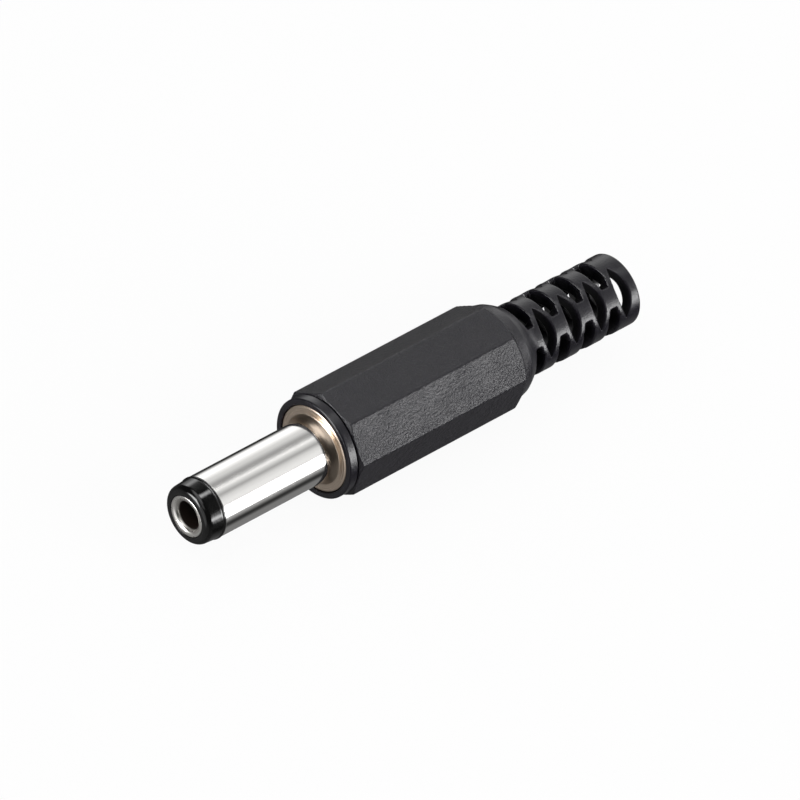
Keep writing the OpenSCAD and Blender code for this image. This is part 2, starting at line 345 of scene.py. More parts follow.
def level_surface(name, distance, radii, angles, places):
    """The surface where distance(x, radius, angle) is zero, on a grid round the X axis.

    Every grid cell that the surface passes through holds one point, first the mean of
    the places where the cell's edges cross the surface, then moved against the slope by
    distance / slope, a few times over, onto the surface. Every grid edge that crosses it
    becomes a quad of its four cells' points. The angle grid closes on itself.
    """
    moves, longest_move, least_slope = 4, 0.12, 0.05
    na, nr, nx = len(angles), len(radii), len(places)
    step = 2 * np.pi / na
    grid_x, grid_a, grid_r = np.meshgrid(places, angles, radii, indexing="ij")
    value = distance(grid_x, grid_r, grid_a)
    value = np.concatenate([value, value[:, :1]], 1)
    inside = value < 0
    shape = (nx - 1, na, nr - 1)
    total = np.zeros(shape + (3,))
    count = np.zeros(shape)

    def corner(k):
        """The grid values at one corner of every cell."""
        i, j, m = k
        return (slice(i, nx - 1 + i), slice(j, na + j), slice(m, nr - 1 + m))

    for axis in range(3):
        for o1 in (0, 1):
            for o2 in (0, 1):
                low = [o1, o2]
                low.insert(axis, 0)
                high = [o1, o2]
                high.insert(axis, 1)
                v0, v1 = value[corner(low)], value[corner(high)]
                crossed = (v0 < 0) != (v1 < 0)
                share = np.where(crossed, v0 / np.where(crossed, v0 - v1, 1), 0)
                for d in range(3):
                    total[..., d] += crossed * (share if d == axis else low[d])
                count += crossed
    active = count > 0
    number = np.full(shape, -1)
    number[active] = np.arange(active.sum())
    place = total[active] / count[active][:, None]
    i, j, m = np.nonzero(active)
    x = places[i] + place[:, 0] * np.diff(places)[i]
    a = (j + place[:, 1]) * step + angles[0]
    r = radii[m] + place[:, 2] * np.diff(radii)[m]
    points = np.stack([x, r * np.cos(a), r * np.sin(a)], -1)

    def at(p):
        """The distance at points given by x, y and z."""
        return distance(p[:, 0], np.hypot(p[:, 1], p[:, 2]), np.arctan2(p[:, 2], p[:, 1]))

    def slope(p, e=0.004):
        """How fast the distance grows along x, y and z, from points e to either side."""
        return np.stack([(at(p + d) - at(p - d)) / (2 * e) for d in e * np.eye(3)], -1)

    for _ in range(moves):
        g = slope(points)
        move = at(points)[:, None] * g / np.maximum((g * g).sum(1, keepdims=True), least_slope)
        size = np.linalg.norm(move, axis=1, keepdims=True)
        points = points - move * np.minimum(1, longest_move / np.maximum(size, 1e-9))
    quads = []

    def add(cells, flips):
        """Quads from four cells each, where all four exist, reversed where flips is true."""
        four = np.stack(cells, -1)
        good = (four >= 0).all(1)
        four, flips = four[good], flips[good]
        four[flips] = four[flips][:, ::-1]
        quads.append(four)

    def cell(i, j, m):
        """Numbers of cells, with the angle closing on itself and -1 outside the grid."""
        ok = (i >= 0) & (i < nx - 1) & (m >= 0) & (m < nr - 1)
        got = number[np.clip(i, 0, nx - 2), j % na, np.clip(m, 0, nr - 2)]
        return np.where(ok, got, -1)

    core = inside[:, :na]
    i, j, m = np.nonzero(core[:-1] != core[1:])
    add([cell(i, j - 1, m - 1), cell(i, j, m - 1), cell(i, j, m), cell(i, j - 1, m)],
        core[i, j, m])
    i, j, m = np.nonzero(core != inside[:, 1:])
    add([cell(i - 1, j, m - 1), cell(i - 1, j, m), cell(i, j, m), cell(i, j, m - 1)],
        core[i, j, m])
    i, j, m = np.nonzero(core[:, :, :-1] != core[:, :, 1:])
    add([cell(i - 1, j - 1, m), cell(i, j - 1, m), cell(i, j, m), cell(i - 1, j, m)],
        core[i, j, m])
    return mesh_piece(name, points, np.concatenate(quads), unit(slope(points)))


# ---------------------------------------------------------------- finishes


def add_node(tree, kind, links=None, **settings):
    """A node with attributes set, and its inputs linked or given by name or number."""
    made = tree.nodes.new(kind)
    for key, value in settings.items():
        setattr(made, key, value)
    for key, value in (links or {}).items():
        if isinstance(value, bpy.types.NodeSocket):
            tree.links.new(value, made.inputs[key])
        else:
            made.inputs[key].default_value = value
    return made


class Finish:
    """A node material: its shader, its tree and short ways to add nodes."""

    def __init__(self, name, **sockets):
        self.material = bpy.data.materials.new(name)
        self.material.use_nodes = True
        self.tree = self.material.node_tree
        self.shader = self.tree.nodes["Principled BSDF"]
        for socket, value in sockets.items():
            self.shader.inputs[socket.replace("_", " ")].default_value = value
        self.coords = self.tree.nodes.new("ShaderNodeTexCoord").outputs["Object"]

    def node(self, kind, links=None, **settings):
        """A node in this material's tree."""
        return add_node(self.tree, kind, links, **settings)

    def math(self, operation, a, b=0.0, c=0.0):
        """A number worked out from up to three others."""
        return self.node("ShaderNodeMath", {0: a, 1: b, 2: c}, operation=operation).outputs[0]

    def noise(self, scale, detail=3.0, roughness=0.55, vector=None):
        """Noise with scale in cycles a metre."""
        return self.node("ShaderNodeTexNoise", {
            "Vector": vector or self.coords, "Scale": scale,
            "Detail": detail, "Roughness": roughness,
        }).outputs["Fac"]

    def ramp(self, value, low, high, to_low=0.0, to_high=1.0):
        """value from low to high, mapped to to_low to to_high and held at the ends."""
        return self.node("ShaderNodeMapRange", {
            0: value, 1: low, 2: high, 3: to_low, 4: to_high,
        }, clamp=True).outputs[0]

    def mix(self, share, a, b):
        """A colour between a and b."""
        return self.node("ShaderNodeMix", {0: share, 6: a, 7: b}, data_type="RGBA").outputs[2]

    def axes(self):
        """The x, y and z of the surface point, in metres."""
        return self.node("ShaderNodeSeparateXYZ", {0: self.coords}).outputs[:3]

    def radius(self):
        """The surface point's distance from the X axis, in metres."""
        _, y, z = self.axes()
        squares = self.math("ADD", self.math("MULTIPLY", y, y), self.math("MULTIPLY", z, z))
        return self.math("SQRT", squares)

    def bump(self, height, depth, strength=1.0):
        """A bump of the given depth in metres, from a height of 0 to 1."""
        return self.node("ShaderNodeBump", {
            "Height": height, "Distance": depth, "Strength": strength,
        }).outputs[0]

    def link(self, value, socket):
        """Feeds value into a socket of the shader."""
        self.tree.links.new(value, self.shader.inputs[socket])


def rgb(value, scale=1.0):
    """A node colour from a colour property."""
    return tuple(scale * c for c in value[:3]) + (1.0,)


def moulded_black(base, flats_x, crease_x):
    """Black plastic: satin collar and strain relief, and sparked grain on the flats.

    The grain is fine leather on broader lumps, 0.07 mm deep on the flats and about a fifth
    of that on the satin. Inside the slots and the bore the black is darkened: painted shade.
    """
    grain_depth, satin_share = 0.07 * MM, 0.22
    shade_from_r, full_shade_r = 3.1 * MM, 2.7 * MM
    fade_from, fade_to, collar_x = crease_x - 0.9, crease_x + 0.1, flats_x - 0.05
    f = Finish("moulded_black")
    x = f.axes()[0]
    relief = f.ramp(x, fade_from * MM, fade_to * MM)
    collar = f.ramp(x, flats_x * MM, collar_x * MM)
    satin = f.math("MAXIMUM", relief, collar)
    lumps = f.noise(2300, detail=2.0, roughness=0.5)
    leather = f.noise(5200, roughness=0.6)
    cloud = f.noise(350, detail=2.0, roughness=0.5)
    # painted shade: inside the slots and the bore the black goes down to a fifth
    slot_and_bore_shade = f.math("MULTIPLY", relief, f.ramp(f.radius(), shade_from_r, full_shade_r))
    grain = f.math("MULTIPLY_ADD", lumps, 0.5, leather)
    patches = f.ramp(cloud, 0.35, 0.65, to_low=0.85, to_high=1.15)
    depth = f.math("MULTIPLY", patches, f.ramp(satin, 0, 1, to_low=1, to_high=satin_share))
    f.link(f.bump(f.math("MULTIPLY", grain, depth), grain_depth), "Normal")
    f.link(f.math("MULTIPLY_ADD", cloud, 0.04, 0.27), "Roughness")
    skin = f.mix(f.ramp(leather, 0.35, 0.7), rgb(base, 0.8), rgb(base, 1.25))
    # the base colour, with the painted shade inside the slots and the bore
    f.link(f.mix(slot_and_bore_shade, skin, rgb(base, 0.2)), "Base Color")
    return f.material


def turned_plate(base, warm, fillet_x):
    """Bright plate over turned brass, which shows through from the fillet on. In the fillet's
    hollow the brass is darker: painted shade.

    The tool's cuts are noise that is fine along x and the radius and long round the axis,
    and on the flange's face also rings: the sine of the radius over the tool's feed.
    """
    cuts_a_metre, round_a_metre, feed, cut_depth = 4500, 160, 0.2 * MM, 0.03 * MM
    foot_r, face_r, soft = 3.0 * MM, 3.3 * MM, 0.05 * MM
    f = Finish("nickel_plate", Metallic=1.0)
    x, y, _ = f.axes()
    radius = f.radius()
    thin = f.ramp(x, (fillet_x - 0.1) * MM, fillet_x * MM)
    face = f.ramp(radius, foot_r, face_r)
    # painted shade: the brass is darker in the fillet's hollow, below foot_r
    f.link(f.mix(thin, rgb(base), f.mix(face, rgb(warm, 0.72), rgb(warm))), "Base Color")
    cuts = f.noise(1.0, detail=2.0, roughness=0.7, vector=f.node("ShaderNodeCombineXYZ", {
        0: f.math("MULTIPLY", x, cuts_a_metre), 1: f.math("MULTIPLY", radius, cuts_a_metre),
        2: f.math("MULTIPLY", y, round_a_metre),
    }).outputs[0])
    blotch = f.noise(900, detail=2.0, roughness=0.5)
    smooth = f.ramp(blotch, 0.3, 0.75, to_low=0.09, to_high=0.13)
    f.link(f.math("MULTIPLY_ADD", thin, 0.19, smooth), "Roughness")
    rings = f.math("SINE", f.math("MULTIPLY", radius, 2 * math.pi / feed))
    on_face = f.ramp(radius, face_r - soft, face_r + soft, to_high=0.35)
    height = f.math("ADD", cuts, f.math("MULTIPLY", rings, on_face))
    f.link(f.bump(height, cut_depth, f.math("MULTIPLY_ADD", thin, 0.6, 0.02)), "Normal")
    return f.material


def gloss_black(base):
    """Glossy black plastic with a very slight waviness."""
    f = Finish("gloss_black")
    f.shader.inputs["Base Color"].default_value = rgb(base)
    smooth = f.ramp(f.noise(1500, detail=2.0), 0.3, 0.7, to_low=0.09, to_high=0.13)
    f.link(smooth, "Roughness")
    f.link(f.bump(f.noise(1300, detail=2.0), 0.02 * MM, strength=0.35), "Normal")
    return f.material


def contact_metal(base):
    """Bright at the mouth; in the bore duller metal, and near-black brown: painted shade."""
    bright_to, dull_and_shaded_from = CONTACT_LO[0] + 0.2, CONTACT_LO[0] + 0.42
    f = Finish("contact_metal")
    x, radius = f.axes()[0], f.radius()
    deep = f.ramp(x, bright_to * MM, dull_and_shaded_from * MM)
    inside = f.ramp(radius, (CONTACT_BORE_R + 0.1) * MM, CONTACT_BORE_R * MM)
    # painted shade and duller metal: deep in the bore the colour goes to near-black brown
    bore = f.math("MULTIPLY", deep, inside)
    f.link(f.mix(bore, rgb(base), rgb((0.02, 0.013, 0.01))), "Base Color")
    f.link(f.ramp(bore, 0, 1, to_low=1, to_high=0.25), "Metallic")
    satin = f.ramp(f.noise(2500), 0.3, 0.7, to_low=0.26, to_high=0.32)
    f.link(f.math("MULTIPLY_ADD", bore, 0.2, satin), "Roughness")
    return f.material


def tinned(name, base):
    """Dull tinned sheet."""
    f = Finish(name, Metallic=1.0)
    f.link(f.mix(f.ramp(f.noise(1200), 0.3, 0.7), rgb(base, 0.8), rgb(base)), "Base Color")
    f.link(f.ramp(f.noise(4000), 0.3, 0.7, to_low=0.22, to_high=0.4), "Roughness")
    f.link(f.bump(f.noise(5000), 0.02 * MM, strength=0.3), "Normal")
    return f.material


def phenolic(base):
    """Brown board with a paper grain."""
    f = Finish("phenolic", Roughness=0.45)
    paper = f.ramp(f.noise(3000, detail=4.0), 0.3, 0.7)
    f.link(f.mix(paper, rgb(base, 0.7), rgb(base, 1.2)), "Base Color")
    f.link(f.bump(f.noise(6000), 0.03 * MM, strength=0.3), "Normal")
    return f.material


def dress(piece, material):
    """Gives a piece one material."""
    piece.data.materials.clear()
    piece.data.materials.append(material)


class Sizes:
    """A property group's values by name, with the lengths among them in millimetres."""

    def __init__(self, group):
        for name in type(group).__annotations__:
            is_length = group.bl_rna.properties[name].unit == "LENGTH"
            value = getattr(group, name)
            setattr(self, name, value / MM if is_length else value)


# ---------------------------------------------------------------- operators


class PLUG_OT_barrel(bpy.types.Operator):
    """Turned barrel, fillet, flange and threaded shank in one piece"""

    bl_idname = "plug.barrel"
    bl_label = "Barrel"

    def execute(self, context):
        p = Sizes(context.scene.plug_shell)
        flange_back, thread_r, chamfer = p.flange_thickness, p.thread_r, p.thread_chamfer
        front, back = SHELL_LO[0], SHELL_HI[0]
        broken, sharp = 0.05, 0.02
        thread_start, fade, steepness, crest = flange_back + 0.25, 0.3, 1.25, 0.15
        sweep = math.degrees(math.asin(p.fillet_length / p.fillet_radius))
        hollow = (-p.fillet_length, BARREL_R + p.fillet_radius)
        outline = profile(
            (front, p.bore_r, broken), (front, BARREL_R, sharp),
            arc(hollow, p.fillet_radius, 270, 270 + sweep), (0, FLANGE_R, p.flange_edge),
            (flange_back, FLANGE_R, broken), (flange_back, thread_r),
            (back - chamfer, thread_r), (back, thread_r - chamfer), (back, p.bore_r, broken),
        )

        def thread(x, r, v):
            """A groove that winds round the shank and fades out at both of its ends.

            Its depth follows x / pitch + v / a full turn: straight up and down again over
            each turn, with a narrow flat crest and floor.
            """
            turn = (x / p.thread_pitch + v / (2 * np.pi)) % 1
            groove = p.thread_depth * np.clip(steepness * np.abs(2 * turn - 1) - crest, 0, 1)
            ends = np.clip((x - thread_start) / fade, 0, 1) * (r > thread_r - chamfer)
            return -groove * ends * np.clip((r - thread_r + chamfer) / chamfer, 0, 1)

        piece = lathe("barrel_turning", divided(outline, step=0.09), wave=thread)
        dress(piece, turned_plate(p.metal, p.brass, -p.fillet_length))
        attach(piece, "insert")
        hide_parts("barrel_shell")
        return {"FINISHED"}


class PLUG_OT_nose(bpy.types.Operator):
    """Glossy nose ring with the tube behind it, and the centre contact in it"""

    bl_idname = "plug.nose"
    bl_label = "Nose and contact"

    def execute(self, context):
        p = Sizes(context.scene.plug_nose)
        gap, bead_round, hole_round = 0.03, 0.09, 0.04
        front, back = NOSE_LO[0], NOSE_HI[0]
        metal_x = front + p.nose_length
        bead_x = metal_x - p.bead_width
        hole_r, tube_r = p.contact_r + gap, Sizes(context.scene.plug_shell).bore_r - gap
        outline = profile(
            (front, hole_r, hole_round), (front, p.side_r, p.side_r - p.face_r),
            (bead_x, p.back_r), (bead_x, p.bead_r, bead_round),
            (metal_x, p.bead_r, bead_round), (metal_x, tube_r), (back, tube_r), (back, hole_r),
        )
        nose = lathe("nose_moulding", divided(outline, step=0.11))
        dress(nose, gloss_black(p.plastic))
        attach(nose, "insert")
        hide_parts("nose_insulator")

        head_thickness, head_round, edge, sharp = 0.25, 0.1, 0.08, 0.03
        front, end, head_r = CONTACT_LO[0], CONTACT_HI[0], CONTACT_HI[2]
        head_x = end - head_thickness
        outline = profile(
            (front, CONTACT_BORE_R, p.mouth_round), (front, p.contact_r, edge),
            (head_x, p.contact_r), (head_x, head_r, sharp), (end, head_r, head_round),
            (end, CONTACT_BORE_R, edge),
        )
        contact = lathe("contact_tube", divided(outline, step=0.08), segments=160)
        dress(contact, contact_metal(p.metal))
        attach(contact, "insert")
        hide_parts("centre_contact")
        return {"FINISHED"}


def cover_distance(p, flange_back, smooth):
    """The signed distance of the cover, as a function of (x, radius, angle).

    The cover is the round parts and the eight-sided handle together, less the groove
    behind the collar, the bore and the slots. The x of the flats' two ends, of the crease
    and of the dome's end come with it.
    """
    front, end = COVER_LO[0], COVER_HI[0]
    collar_r = p.collar_r
    flats_x = front + p.collar_length
    flats_end = flats_x + p.handle_length
    crease_x = flats_end + p.shoulder_length
    dome_end = crease_x + p.dome_length
    shoulder_r, crease_r = p.shoulder_r, p.crease_r
    relief_r, relief_end_r = p.relief_r, p.relief_end_r
    bore_r, dome_r, pitch = p.relief_bore_r, p.dome_radius, p.row_pitch
    first_row = end - p.end_ring - (ROWS - 1) * pitch
    half_side, sector = math.pi / SIDES, 2 * math.pi / CORES
    side_reach = relief_r * math.sin(sector / 2)
    corner_r = HALF_FLATS / math.cos(half_side)
    corner_slope = (corner_r + 0.2 - collar_r) / p.corner_chamfer
    end_slope = 0.8
    hidden_x, hidden_r = flats_x + 0.2, collar_r - 0.3      # the round part inside the flats
    groove_x, groove_half, groove_r = flats_x - 0.08, 0.07, collar_r - 0.18
    crisp, fine, foot_blend, tip_blend, web_blend = 0.04, 0.03, 0.5, 0.1, 0.12
    front_blend, end_blend = 1.4 * smooth, 1.6 * smooth

    # the dome's arc runs from the crease to the relief, and its centre lies on the line
    # square to the chord between them
    chord = np.array([dome_end - crease_x, relief_r - crease_r])
    half = np.linalg.norm(chord) / 2
    across = np.array([chord[1], -chord[0]]) / (2 * half)
    centre = np.array([(crease_x + dome_end) / 2, (crease_r + relief_r) / 2])
    centre = centre + across * math.sqrt(dome_r ** 2 - half ** 2)

    def turned_outside(x):
        """Radius of the round parts at x: collar, cone, dome and relief."""
        cone = shoulder_r + (crease_r - shoulder_r) * (x - flats_end) / (crease_x - flats_end)
        dome = centre[1] + np.sqrt(np.maximum(dome_r ** 2 - (x - centre[0]) ** 2, 0))
        relief = relief_r + (relief_end_r - relief_r) * (x - dome_end) / (end - dome_end)
        return np.where(
            x < flats_end, np.where(x < hidden_x, collar_r, hidden_r),
            np.where(x < crease_x, cone, both(dome, relief, foot_blend)),
        )

    def lens(dx, s, width, half_l):
        """Distance to a lens between two arcs that meet in points at s = -half_l and half_l."""
        arc_r = (half_l ** 2 + (width / 2) ** 2) / width
        off = arc_r - width / 2
        return both(np.hypot(dx + off, s) - arc_r, np.hypot(dx - off, s) - arc_r, tip_blend)

    def slots(x, r, psi):
        """Distance to the nearest slot, from the two cores whose middles are nearest.

        s is the distance sideways from a core's middle and up the height along it. Odd
        rows have a lens at s = 0. Even rows have a side slot on each side of the web, at
        its widest where the cores part, and there it meets the next core's.
        """
        turn = np.abs((psi - p.slot_turn + sector / 2) % sector - sector / 2)
        even = np.round((x - first_row) / (2 * pitch)).clip(0, ROWS // 2 - 1) * 2
        odd = np.round((x - first_row - pitch) / (2 * pitch)).clip(0, ROWS // 2 - 1) * 2 + 1
        nearest = np.full(np.broadcast(x, r).shape, FAR)
        for delta in (turn, sector - turn):
            s, up = r * np.sin(delta), r * np.cos(delta)
            middle = lens(x - first_row - odd * pitch, s, p.lens_width, p.lens_length / 2)
            side = lens(x - first_row - even * pitch, s - side_reach, p.side_width, side_reach)
            side = both(side, p.web_width / 2 - s, web_blend)
            nearest = np.minimum(nearest, both(np.minimum(middle, side), -up))
        return nearest

    # each stretch of the bore: from, to, radius at from, radius at to; they overlap a little
    lap = 0.1
    thread_end, entry_x = RING_LO[0] + 0.5, end - ENTRY_LENGTH
    funnel_end = crease_x + 0.6
    funnel_x = funnel_end - 1.69
    chamber_r, thread_bore_r, seat_r = 3.3, 3.85, FLANGE_R + 0.05
    stretches = [
        (front - 1, flange_back, seat_r, seat_r),
        (flange_back - lap, thread_end, thread_bore_r, thread_bore_r),
        (thread_end - lap, funnel_x, chamber_r, chamber_r),
        (funnel_x, funnel_end, chamber_r, bore_r),
        (funnel_end - lap, entry_x, bore_r, bore_r),
        (entry_x - lap, end + 1, ENTRY_R, ENTRY_R),
    ]
    slots_x, slot_inset = dome_end - 0.6, 0.03

    def distance(x, r, v):
        """The signed distance at x, radius r and angle v.

        A flat is the plane r cos(angle from the flat's middle) = half the width across
        flats, and the fold brings every angle to the nearest flat.
        """
        psi = v - np.pi / 2
        fold = np.abs((psi + half_side) % (2 * half_side) - half_side)
        flat = r * np.cos(fold) - HALF_FLATS
        near = r * np.cos(2 * half_side - fold) - HALF_FLATS
        front_cone = ((r - collar_r) - (x - flats_x) * corner_slope) / math.hypot(1, corner_slope)
        end_cone = (x - flats_end + end_slope * (r - shoulder_r)) / math.hypot(1, end_slope)
        flats = both(flat, near, crisp)
        flats = both(flats, front_cone, crisp)
        flats = both(flats, end_cone, crisp)
        flats = both(flats, flats_x - x, crisp)
        outside = either(flats, r - turned_outside(x), fine)
        groove = both(np.abs(x - groove_x) - groove_half, groove_r - r)
        outside = both(outside, -groove, crisp)
        outside = both(outside, front - x, front_blend)
        outside = both(outside, x - end, end_blend)
        bore = np.full(np.broadcast(x, r).shape, FAR)
        for start, stop, r0, r1 in stretches:
            wide = r - (r0 + (r1 - r0) * np.clip((x - start) / (stop - start), 0, 1))
            bore = np.minimum(bore, both(wide, np.maximum(start - x, x - stop)))
        body = both(outside, -bore, smooth)
        cutting = np.where(x > slots_x, slots(x, r, psi), FAR)
        return both(body, -cutting - slot_inset, smooth)

    return distance, flats_x, flats_end, crease_x, dome_end


def graded(stops):
    """Grid places from (start, step) stops; the last start ends the grid."""
    runs = []
    for (start, step), (stop, _) in zip(stops[:-1], stops[1:]):
        count = max(1, round((stop - start) / step))
        runs.append(start + (stop - start) * np.arange(count) / count)
    return np.concatenate(runs + [[stops[-1][0]]])


class PLUG_OT_cover(bpy.types.Operator):
    """Cover: collar, eight-sided handle, domed shoulder and slotted strain relief"""

    bl_idname = "plug.cover"
    bl_label = "Cover"

    def execute(self, context):
        p = Sizes(context.scene.plug_cover)
        flange_back = Sizes(context.scene.plug_shell).flange_thickness
        distance, flats_x, flats_end, crease_x, dome_end = cover_distance(p, flange_back, p.edge)
        front, end = COVER_LO[0], COVER_HI[0]
        # edges that lie square to the axis run through the middle of a cell, and the
        # places lie closest at the groove and farthest apart along the flats
        step, half, beyond = 0.1, 0.05, 0.25
        places = graded([
            (front - beyond, step), (front - half, step), (flats_x - 0.22, 0.045),
            (flats_x + 0.14, 0.09), (flats_x + 0.68, 0.45), (flats_end - 0.41, 0.09),
            (flats_end - half, step), (flats_end + half, step), (crease_x - half, step),
            (crease_x + half, step), (dome_end - half, 0.11), (end + half, step),
            (end + beyond, step),
        ])
        inner_r, outer_r, radius_step = 1.55, HALF_FLATS / math.cos(math.pi / SIDES), 0.108
        radii = np.arange(inner_r, outer_r + 2 * step, radius_step)
        count = SIDES * 23    # an odd number a side, so the flats' edges run through the cells
        angles = np.arange(count) * 2 * np.pi / count
        piece = level_surface("cover_moulding", distance, radii, angles, places)
        dress(piece, moulded_black(p.plastic, flats_x, crease_x))
        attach(piece, "cover")
        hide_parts("cover")
        return {"FINISHED"}


class PLUG_OT_cover_thread(bpy.types.Operator):
    """Thread inside the cover's front end"""

    bl_idname = "plug.cover_thread"
    bl_label = "Cover thread"

    def execute(self, context):
        shell = Sizes(context.scene.plug_shell)
        depth, clearance, wall, land, fade = 0.24, 0.05, 0.3, 0.1, 0.3
        crest_r = shell.thread_r + clearance
        start, stop = shell.flange_thickness + 0.02, RING_LO[0] + 0.48

        def groove(x, r, v):
            """A V groove in the wall that winds as the shank's does, and fades at its ends."""
            turn = (x / shell.thread_pitch + v / (2 * np.pi)) % 1
            begins = np.clip((x - start - land) / fade, 0, 1)
            stops = np.clip((stop - land - x) / fade, 0, 1)
            return depth * np.abs(2 * turn - 1) * begins * stops * (r < crest_r + 0.01)

        outline = profile(
            (start, crest_r), (start, crest_r + wall), (stop, crest_r + wall), (stop, crest_r),
        )
        piece = lathe("cover_thread", divided(outline, step=0.09), 128, groove)
        dress(piece, bpy.data.materials["moulded_black"])
        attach(piece, "cover")
        return {"FINISHED"}


class PLUG_OT_terminals(bpy.types.Operator):
    """Finishes of the two terminals and the washer between them"""

    bl_idname = "plug.terminals"
    bl_label = "Terminals"

    def execute(self, context):
        tin, board = (0.74, 0.73, 0.70), (0.26, 0.13, 0.055)
        plate = tinned("tinned_sheet", tin)
        dress(frame["nodes"]["sleeve_terminal"], plate)
        dress(frame["nodes"]["centre_terminal"], plate)
        dress(frame["nodes"]["rear_washer"], phenolic(board))
        return {"FINISHED"}


# ---------------------------------------------------------------- stage


def lamp(name, aim, towards, distance, power, size):
    """A square area lamp that looks at aim from a distance along towards."""
    offset = distance * Vector(towards)
    light = bpy.data.lights.new(name, "AREA")
    light.energy = power
    light.shape = "SQUARE"
    light.size = size
    holder = bpy.data.objects.new(name, light)
    holder.location = aim + offset
    holder.rotation_mode = "QUATERNION"
    holder.rotation_quaternion = (-offset).to_track_quat("-Z", "Y")
    holder.visible_glossy = False
    bpy.context.scene.collection.objects.link(holder)


# What gloss sees round the plug, as set up on a table top. Each line is a card, a
# lamp or a flag that takes light away: its name, the turn round the plug from straight up
# towards -Y, half its width and the softness of its edge, all in degrees, then from where
# to where along the plug, and the brightness that it adds to the room's.
ROOM = 0.035
TABLE_TOP = [
    # beyond the tip
    ("white_card", -22, 84, 14, 0.46, 1.10, 0.75),
    ("lit_end_of_card", -84, 20, 14, 0.46, 1.10, 0.5),
    ("upper_flag", -26, 12, 12, 0.46, 1.10, -0.4),
    ("gap_of_flags", -6, 5, 6, 0.46, 1.10, 0.3),
    ("lower_flag", 15, 6, 8, 0.46, 1.10, -0.35),
    ("glow_under_flags", 48, 14, 12, 0.46, 1.10, 0.2),
    ("window", 78, 15, 8, 0.46, 0.64, 14.0),
    ("far_end_of_window", 74, 20, 8, 0.74, 1.10, 2.0),
    ("sill", 100, 12, 12, 0.46, 1.10, 0.4),
    ("table", 168, 30, 10, 0.46, 1.10, 0.18),
    # beside the nose
    ("upper_strip_lamp", -12, 6, 5, 0.34, 0.46, 9.0),
    ("lower_strip_lamp", 79, 5, 5, 0.36, 0.46, 12.0),
    ("small_card", -82, 9, 8, 0.39, 0.50, 2.0),
    # beside and behind the flange
    ("near_card", -24, 22, 8, -0.02, 0.30, 1.8),
    ("middle_card", -12, 24, 8, -0.34, -0.02, 2.0),
    ("far_card", 4, 28, 8, -0.70, -0.34, 1.0),
    ("ring_lamp", -55, 36, 5, -1.05, -0.80, 12.0),
    ("ring_lamp_glow", -55, 180, 5, -1.10, -0.85, 0.8),
    ("back_wall", 180, 80, 20, -1.10, -0.40, 0.22),
    ("side_wall", 180, 80, 20, -0.40, 0.40, 0.10),
]
EDGE_ALONG = 0.05       # softness of every patch's ends along the plug
DAYLIGHT = 0.7          # what diffuse surfaces see


def studio_world():
    """White to the camera and plain to diffuse light; to gloss, the table top.

    Gloss sees a pattern of two numbers: the direction's turn round the X axis, and its
    share along X. Each card, flag and lamp is a patch of them with soft edges: the
    product of one fall over the turn and one along X. The patches add up.
    """
    world = bpy.data.worlds.new("studio")
    bpy.context.scene.world = world
    world.use_nodes = True
    tree = world.node_tree
    tree.nodes.clear()

    def node(kind, links=None, **settings):
        """The first output of a new node."""
        return add_node(tree, kind, links, **settings).outputs[0]

    def maths(operation, a, b=0.0, c=0.0, label=""):
        """A number worked out from up to three others."""
        return node("ShaderNodeMath", {0: a, 1: b, 2: c}, operation=operation, label=label)

    def fall(away, half, soft):
        """1 up to half less soft away, 0 from half and soft away, smooth between them."""
        return node("ShaderNodeMapRange", {
            0: maths("ABSOLUTE", away), 1: half - soft, 2: half + soft, 3: 1.0, 4: 0.0,
        }, interpolation_type="SMOOTHSTEP")

    coords = tree.nodes.new("ShaderNodeTexCoord").outputs["Generated"]
    along, across, height = add_node(tree, "ShaderNodeSeparateXYZ", {0: coords}).outputs[:3]
    turn = maths("ARCTAN2", maths("MULTIPLY", across, -1.0), height)
    light = ROOM
    for name, middle, half, soft, start, end, level in TABLE_TOP:
        away = maths("WRAP", maths("SUBTRACT", turn, math.radians(middle)), math.pi, -math.pi)
        round_x = fall(away, math.radians(half), math.radians(soft))
        off = maths("SUBTRACT", along, (start + end) / 2)
        along_x = fall(off, (end - start) / 2, EDGE_ALONG)
        patch = maths("MULTIPLY", round_x, along_x)
        light = maths("MULTIPLY_ADD", patch, level, light, label=name)
    rays = tree.nodes.new("ShaderNodeLightPath").outputs
    mirrored = maths("MAXIMUM", rays["Is Glossy Ray"], rays["Is Transmission Ray"])
    white = (1, 1, 1, 1)
    daylight = node("ShaderNodeBackground", {0: white, 1: DAYLIGHT})
    table_top = node("ShaderNodeBackground", {0: white, 1: light})
    page = node("ShaderNodeBackground", {0: white, 1: 1.0})
    unseen = node("ShaderNodeMixShader", {0: mirrored, 1: daylight, 2: table_top})
    seen = node("ShaderNodeMixShader", {0: rays["Is Camera Ray"], 1: unseen, 2: page})
    output = tree.nodes.new("ShaderNodeOutputWorld")
    tree.links.new(seen, output.inputs[0])


def floor_finish():
    """Pale floor: bright to the camera and to gloss, with a faint shadow."""
    glow_share = 0.93
    material = bpy.data.materials.new("floor")
    material.use_nodes = True
    tree = material.node_tree
    shader = tree.nodes["Principled BSDF"]
    shader.inputs["Base Color"].default_value = (0.9, 0.9, 0.9, 1)
    shader.inputs["Roughness"].default_value = 0.9
    glow = add_node(tree, "ShaderNodeEmission", {0: (1, 1, 1, 1)})
    rays = tree.nodes.new("ShaderNodeLightPath").outputs
    seen = add_node(tree, "ShaderNodeMath", {
        0: rays["Is Camera Ray"], 1: rays["Is Glossy Ray"],
    }, operation="MAXIMUM")
    share = add_node(tree, "ShaderNodeMath", {
        0: seen.outputs[0], 1: glow_share,
    }, operation="MULTIPLY")
    mix = add_node(tree, "ShaderNodeMixShader", {
        0: share.outputs[0], 1: shader.outputs[0], 2: glow.outputs[0],
    })
    tree.links.new(mix.outputs[0], tree.nodes["Material Output"].inputs[0])
    return material


